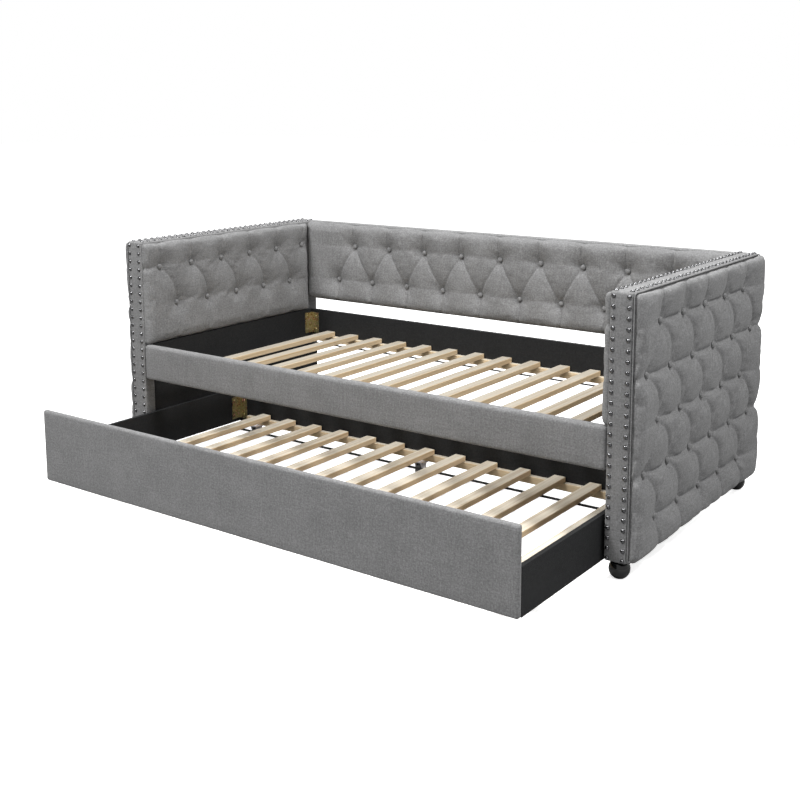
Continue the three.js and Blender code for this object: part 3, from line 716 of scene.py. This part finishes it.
def tube(path, radius):
    """A closed cord along a closed path."""
    path = np.array(path)
    points, faces = [], []
    count, segments = len(path), 8
    for k in range(count):
        tangent = path[(k + 1) % count] - path[k - 1]
        a, b, _ = frame_of(tangent)
        for s in range(segments):
            t = 2 * math.pi * s / segments
            points.append(path[k] + radius * (math.cos(t) * a + math.sin(t) * b))
    for k in range(count):
        for s in range(segments):
            i, j, n = k * segments, ((k + 1) % count) * segments, (s + 1) % segments
            faces.append((i + s, i + n, j + n, j + s))
    return points, faces


def outline(u0, u1, v0, v1, corner):
    """A rectangle with round corners."""
    path, turns = [], 6
    for cu, cv, first in ((u1 - corner, v1 - corner, 0), (u0 + corner, v1 - corner, 90),
                          (u0 + corner, v0 + corner, 180), (u1 - corner, v0 + corner, 270)):
        for k in range(turns + 1):
            t = math.radians(first + 90 * k / turns)
            path.append((cu + corner * math.cos(t), cv + corner * math.sin(t)))
    return path


for side, sign in (("left", -1), ("right", 1)):
    low, high = (np.array(c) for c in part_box(f"{side}_arm_outer_pad"))
    x = (high[0] if sign < 0 else low[0]) + sign * (WELT_RADIUS + 0.0003)
    path = outline(low[1] - WELT_OUT, high[1] + WELT_OUT, low[2] - WELT_OUT, high[2] + WELT_OUT, WELT_CORNER)
    piece(f"{side}_arm_welt", *tube([(x, u, v) for u, v in path], WELT_RADIUS), LINEN, "daybed", "grey_linen")


# ---- trundle deck ---------------------------------------------------------
def plank(low, high, c):
    """A board running along Y, its edges broken by c."""
    (x0, y0, z0), (x1, y1, z1) = low, high
    section = [(x0 + c, z0), (x1 - c, z0), (x1, z0 + c), (x1, z1 - c),
               (x1 - c, z1), (x0 + c, z1), (x0, z1 - c), (x0, z0 + c)]
    points = [(x, y, z) for y in (y0, y1) for x, z in section]
    faces = [(k, k + 8, (k + 1) % 8 + 8, (k + 1) % 8) for k in range(8)]
    return points, faces + [tuple(range(8)), tuple(range(15, 7, -1))]


def slat_ranges(node):
    """The x ranges of the roll's slats, read from the tops of its mesh."""
    mesh = NODES[node].data
    top = max(v.co.z for v in mesh.vertices)
    xs = sorted({round(v.co.x, 4) for v in mesh.vertices if v.co.z > top - 1e-4})
    widest = 0.06
    groups = []
    for x in xs:
        if groups and x - groups[-1][-1] < widest:
            groups[-1].append(x)
        else:
            groups.append([x])
    return [(min(g), max(g)) for g in groups]


low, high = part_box("trundle_slat_roll")
bed_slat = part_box("bed_slat_01")
thickness = bed_slat[1][2] - bed_slat[0][2]
slats = []
for a, b in slat_ranges("trundle_slat_roll"):
    slats.append(plank((a - CHAMFER, low[1], high[2] - thickness), (b + CHAMFER, high[1], high[2]), CHAMFER))
piece("trundle_slats", *merge(slats), PINE_TRUNDLE, "trundle", "pine", "trundle_slat_roll", smooth=False)
bed_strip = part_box("bed_front_webbing")
half_width = (bed_strip[1][1] - bed_strip[0][1]) / 2
top = high[2] - thickness - 0.0001              # just under the slats
for end, y in (("front", low[1] + WEBBING_INSET), ("rear", high[1] - WEBBING_INSET)):
    strip = plank((low[0] + WEBBING_MARGIN, y - half_width, low[2]),
                  (high[0] - WEBBING_MARGIN, y + half_width, top), 0.0003)
    piece(f"trundle_{end}_webbing", *strip, WEBBING, "trundle", "black_webbing", smooth=False)

# ---- feet and wheels ------------------------------------------------------
for node in [n for n in NODES if n.endswith("_foot")]:      # a ball between a flat base and a short neck
    low, high = (np.array(c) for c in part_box(node))
    middle = (low + high) / 2
    radius, height = (high[0] - low[0]) / 2, high[2] - low[2]
    centre = height / 2 + 0.001
    profile = [(0, 0), (0.014, 0), (0.0165, 0.0006)]
    for t in np.linspace(-52, 47, 22):
        profile.append((radius * math.cos(math.radians(t)), centre + radius * math.sin(math.radians(t))))
    profile += [(0.0215, height - 0.0005), (0.0205, height), (0, height)]
    ball = turned(profile, (middle[0], middle[1], low[2]), (0, 0, 1), 48)
    piece(f"{node}_ball", *ball, LACQUER, "daybed", "gloss_black", node)

HUB_STEP, WHEEL_WEB, WHEEL_RIM, TREAD_ROUND = 0.0008, 0.003, 0.0042, 0.0022
for name in [n for n in NODES if n.endswith("_wheel")]:     # each wheel's body has its node's name
    low, high = (np.array(c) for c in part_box(name))
    radius, half = (high[2] - low[2]) / 2, (high[0] - low[0]) / 2
    face, web = half - HUB_STEP, half - HUB_STEP - WHEEL_WEB
    rim = radius - WHEEL_RIM
    side = [(0, half), (0.0062, half), (0.0068, half - 0.0006), (0.0078, web), (rim - 0.0008, web),
            (rim, face - 0.0004), (rim + 0.0005, face), (radius - TREAD_ROUND, face)]
    for t in (0.5, 1.0, 1.5):
        side.append((radius - TREAD_ROUND * (1 - math.sin(t)), face - TREAD_ROUND * (1 - math.cos(t))))
    profile = [(r, -h) for r, h in side] + [(r, h) for r, h in reversed(side)]
    wheel = turned(profile, (low + high) / 2, (1, 0, 0), 40)
    piece(f"{name}_moulded", *wheel, PLASTIC, name, "wheel_plastic", name)

# ---- screws ---------------------------------------------------------------
for prefix, body in (("bed", "daybed"), ("trundle", "trundle")):
    heads = []
    for side, sign in (("left", -1), ("right", 1)):
        low, high = (np.array(c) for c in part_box(f"{prefix}_rear_{side}_bracket"))
        inner = low[0] + SCREW_INSET if side == "right" else high[0] - SCREW_INSET
        leg = high[0] - BRACKET_SHEET if side == "right" else low[0] + BRACKET_SHEET
        for z in (low[2] + SCREW_INSET, high[2] - SCREW_INSET):
            for place, normal in (((inner, high[1] - BRACKET_SHEET, z), (0, -1, 0)),
                                  ((leg, low[1] + SCREW_INSET, z), (-sign, 0, 0))):
                heads.append(dome(place, normal, SCREW_RADIUS, SCREW_HEIGHT, SCREW_SEGMENTS))
    piece(f"{prefix}_bracket_screws", *merge(heads), ZINC, body, "yellow_zinc")


# ---- materials on the carried-over nodes ----------------------------------
def finish_of(name):
    if "slat" in name:
        return PINE_BED
    if "ledger" in name or "batten" in name:
        return PINE_X
    if "webbing" in name:
        return WEBBING
    if "bracket" in name:
        return ZINC
    if "housing" in name:
        return STEEL
    if name.endswith("_wheel"):
        return PLASTIC
    return BLACK


for name, obj in NODES.items():
    obj.data.materials.clear()
    obj.data.materials.append(finish_of(name))

# ---- floor, light and camera ----------------------------------------------
floor_z, floor_half = cad_box[0][2] - 0.0002, 30
floor_mesh = bpy.data.meshes.new("floor")
corners = [(x * floor_half, y * floor_half, floor_z) for x, y in ((-1, -1), (1, -1), (1, 1), (-1, 1))]
floor_mesh.from_pydata(corners, [], [(0, 1, 2, 3)])
floor = bpy.data.objects.new("floor", floor_mesh)
paint = Nodes("floor_paint")
seen = paint.add("ShaderNodeLightPath").outputs["Is Camera Ray"]
shade = paint.spread(seen, 0.0, 1.0, 0.26, 0.93)
paint.colour(paint.ramp(shade, [(0.0, (0, 0, 0)), (1.0, (1, 1, 1))]))
paint.link(paint.math("MULTIPLY", seen, 0.78), paint.shader.inputs["Emission Strength"])
paint.fixed(Roughness=0.95, Specular_IOR_Level=0.0, Emission_Color=(1, 1, 1, 1))
floor_mesh.materials.append(paint.mat)
bpy.context.scene.collection.objects.link(floor)

world = bpy.data.worlds.new("studio")
world.use_nodes = True
tree = world.node_tree
background = tree.nodes["Background"]
background.inputs["Color"].default_value = (1, 1, 1, 1)
ray = tree.nodes.new("ShaderNodeLightPath")
sky = tree.nodes.new("ShaderNodeMapRange")
sky.inputs["To Min"].default_value = 0.44     # lights the bed
sky.inputs["To Max"].default_value = 1.0      # seen behind it
tree.links.new(ray.outputs["Is Camera Ray"], sky.inputs["Value"])
tree.links.new(sky.outputs["Result"], background.inputs["Strength"])
bpy.context.scene.world = world
bpy.context.scene.view_settings.view_transform = "Standard"


def oriented(a, b, n, place):
    """The matrix of an object at place whose own axes are a, b and n."""
    return Matrix([(a[k], b[k], n[k], place[k]) for k in range(3)] + [(0, 0, 0, 1)])


def soft_light(name, place, aim, size, power):
    light = bpy.data.lights.new(name, "AREA")
    light.shape, light.size, light.energy = "DISK", size, power
    obj = bpy.data.objects.new(name, light)
    direction = np.array(aim, float) - np.array(place, float)
    obj.matrix_world = oriented(*frame_of(-direction), place)
    bpy.context.scene.collection.objects.link(obj)


soft_light("overhead", (0.3, -0.5, 4.8), (0, 0.1, 0.4), 2.0, 130)
soft_light("front", (-1.6, -4.2, 5.2), (0, 0, 0.4), 1.8, 326)
soft_light("right", (3.9, -0.6, 5.0), (0.9, 0, 0.4), 1.6, 220)
soft_light("rear", (-1.6, 5.6, 3.4), (0, 0.3, 0.4), 2.4, 130)

camera_data = bpy.data.cameras.new("camera")
camera_data.sensor_width = 36.0
camera_data.lens = 51.98
camera_data.shift_y = -0.15
camera = bpy.data.objects.new("camera", camera_data)
yaw, pitch, roll = (math.radians(a) for a in (35.974, -8.851, -0.176))
forward = np.array([-math.sin(yaw) * math.cos(pitch), math.cos(yaw) * math.cos(pitch), math.sin(pitch)])
right = np.array([math.cos(yaw), math.sin(yaw), 0.0])
up = np.cross(right, forward)
right, up = math.cos(roll) * right + math.sin(roll) * up, math.cos(roll) * up - math.sin(roll) * right
camera.matrix_world = oriented(right, up, -forward, (2.3784, -3.2160, 1.3840))
camera_data.clip_end = 100
bpy.context.scene.collection.objects.link(camera)
bpy.context.scene.camera = camera
